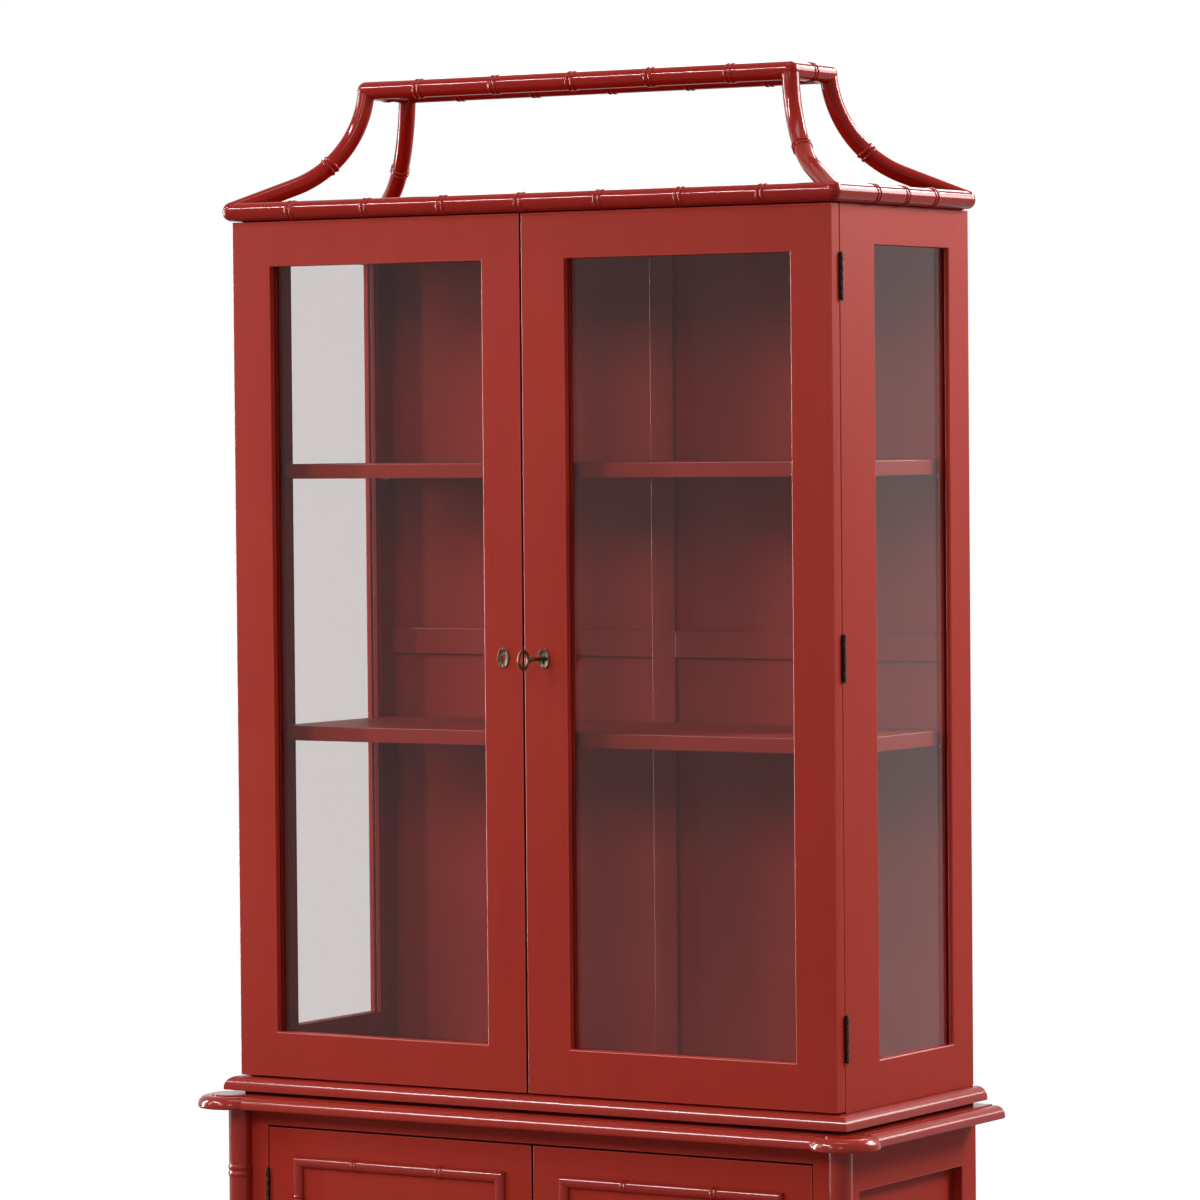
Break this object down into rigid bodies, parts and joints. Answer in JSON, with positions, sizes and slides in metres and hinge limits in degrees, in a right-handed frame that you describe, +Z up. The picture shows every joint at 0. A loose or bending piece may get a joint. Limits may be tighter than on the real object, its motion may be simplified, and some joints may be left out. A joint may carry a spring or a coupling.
{
  "type": "display cabinet",
  "caption": "Tall two-stage display cabinet: glazed hutch with double doors, shelves and a bamboo-turned crown on a base with double doors and bamboo corner posts.",
  "frame": {"origin": "on the floor, at the middle of the plan box", "axes": "+Z up, +X to the right of a viewer who faces the doors, +Y from the doors to the back"},
  "size_m": [1.0921, 0.4494, 2.272],
  "materials": {
    "red_lacquer": "satin red lacquer",
    "red_gloss_lacquer": "gloss red lacquer",
    "clear_glass": "clear float glass",
    "aged_brass": "dark antique brass",
    "steel": "satin"
  },
  "bodies": {
    "cabinet": {"hutch_bottom_board": "red_lacquer", "hutch_foot_moulding": "red_lacquer", "hutch_side_left": "red_lacquer", "hutch_side_right": "red_lacquer", "hutch_side_glass": "clear_glass", "hutch_side_beads": "red_lacquer", "hutch_top_board": "red_lacquer", "hutch_back_panels": "red_lacquer", "hutch_back_strips": "red_lacquer", "shelf_pins": "steel", "hutch_shelf_lower": "red_lacquer", "hutch_shelf_upper": "red_lacquer", "crown_cap_board": "red_lacquer", "crown_leg_front_left": "red_gloss_lacquer", "crown_leg_front_right": "red_gloss_lacquer", "crown_leg_rear_left": "red_gloss_lacquer", "crown_leg_rear_right": "red_gloss_lacquer", "crown_front_rail": "red_gloss_lacquer", "crown_rear_rail": "red_gloss_lacquer", "crown_side_rails": "red_gloss_lacquer", "crown_top_long_rails": "red_gloss_lacquer", "crown_top_end_rails": "red_gloss_lacquer", "base_top": "red_lacquer", "base_post_left": "red_gloss_lacquer", "base_post_right": "red_gloss_lacquer", "base_side_left": "red_lacquer", "base_side_right": "red_lacquer", "base_side_panels": "red_lacquer", "base_shelf_cleats": "red_lacquer", "base_face_frame": "red_lacquer", "base_bottom_board": "red_lacquer", "base_back_panel": "red_lacquer", "base_shelf": "red_lacquer", "hinge_case_leaves": "aged_brass", "hinge_pins": "steel"},
    "hutch_door_left": {"hutch_door_left_frame": "red_lacquer", "hutch_door_left_glass": "clear_glass", "hutch_door_left_beads": "red_lacquer", "hutch_door_left_escutcheon": "aged_brass", "hutch_door_left_hinge_leaves": "aged_brass"},
    "hutch_door_right": {"hutch_door_right_frame": "red_lacquer", "hutch_door_right_glass": "clear_glass", "hutch_door_right_beads": "red_lacquer", "hutch_door_right_escutcheon": "aged_brass", "hutch_door_right_hinge_leaves": "aged_brass", "hutch_lock_case": "steel"},
    "hutch_bolt": {"hutch_lock_bolt": "steel"},
    "hutch_key": {"hutch_key": "aged_brass"},
    "base_door_left": {"base_door_left": "red_lacquer", "base_door_left_bamboo_trim": "red_gloss_lacquer", "base_door_left_escutcheon": "aged_brass", "base_door_left_hinge_leaves": "aged_brass"},
    "base_door_right": {"base_door_right": "red_lacquer", "base_door_right_bamboo_trim": "red_gloss_lacquer", "base_door_right_escutcheon": "aged_brass", "base_door_right_hinge_leaves": "aged_brass", "base_lock_case": "steel"},
    "base_bolt": {"base_lock_bolt": "steel"},
    "base_key": {"base_key": "aged_brass"}
  },
  "joints": [
    {"name": "hutch_door_left_swing", "type": "hinge", "parent": "cabinet", "child": "hutch_door_left", "pos_m": [-0.4882, -0.1365, 1.4694], "axis": [0, 0, -1], "range_deg": [0, 180]},
    {"name": "hutch_door_right_swing", "type": "hinge", "parent": "cabinet", "child": "hutch_door_right", "pos_m": [0.4882, -0.1365, 1.4694], "axis": [0, 0, 1], "range_deg": [0, 180]},
    {"name": "base_door_left_swing", "type": "hinge", "parent": "cabinet", "child": "base_door_left", "pos_m": [-0.4425, -0.1557, 0.4759], "axis": [0, 0, -1], "range_deg": [0, 110]},
    {"name": "base_door_right_swing", "type": "hinge", "parent": "cabinet", "child": "base_door_right", "pos_m": [0.4425, -0.1557, 0.4759], "axis": [0, 0, 1], "range_deg": [0, 110]},
    {"name": "hutch_key_turn", "type": "hinge", "parent": "hutch_door_right", "child": "hutch_key", "pos_m": [0.03, -0.1583, 1.4637], "axis": [0, -1, 0], "range_deg": [0, 180]},
    {"name": "base_key_turn", "type": "hinge", "parent": "base_door_right", "child": "base_key", "pos_m": [0.03, -0.1525, 0.4759], "axis": [0, -1, 0], "range_deg": [0, 180]},
    {"name": "hutch_bolt_slide", "type": "slide", "parent": "hutch_door_right", "child": "hutch_bolt", "axis": [-1, 0, 0], "range_m": [0, 0.007]},
    {"name": "base_bolt_slide", "type": "slide", "parent": "base_door_right", "child": "base_bolt", "axis": [-1, 0, 0], "range_m": [0, 0.007]}
  ],
  "couplings": [
    {"joint": "hutch_bolt_slide", "follows": "hutch_key_turn", "m_per_rad": 0.002228},
    {"joint": "base_bolt_slide", "follows": "base_key_turn", "m_per_rad": 0.002228}
  ]
}
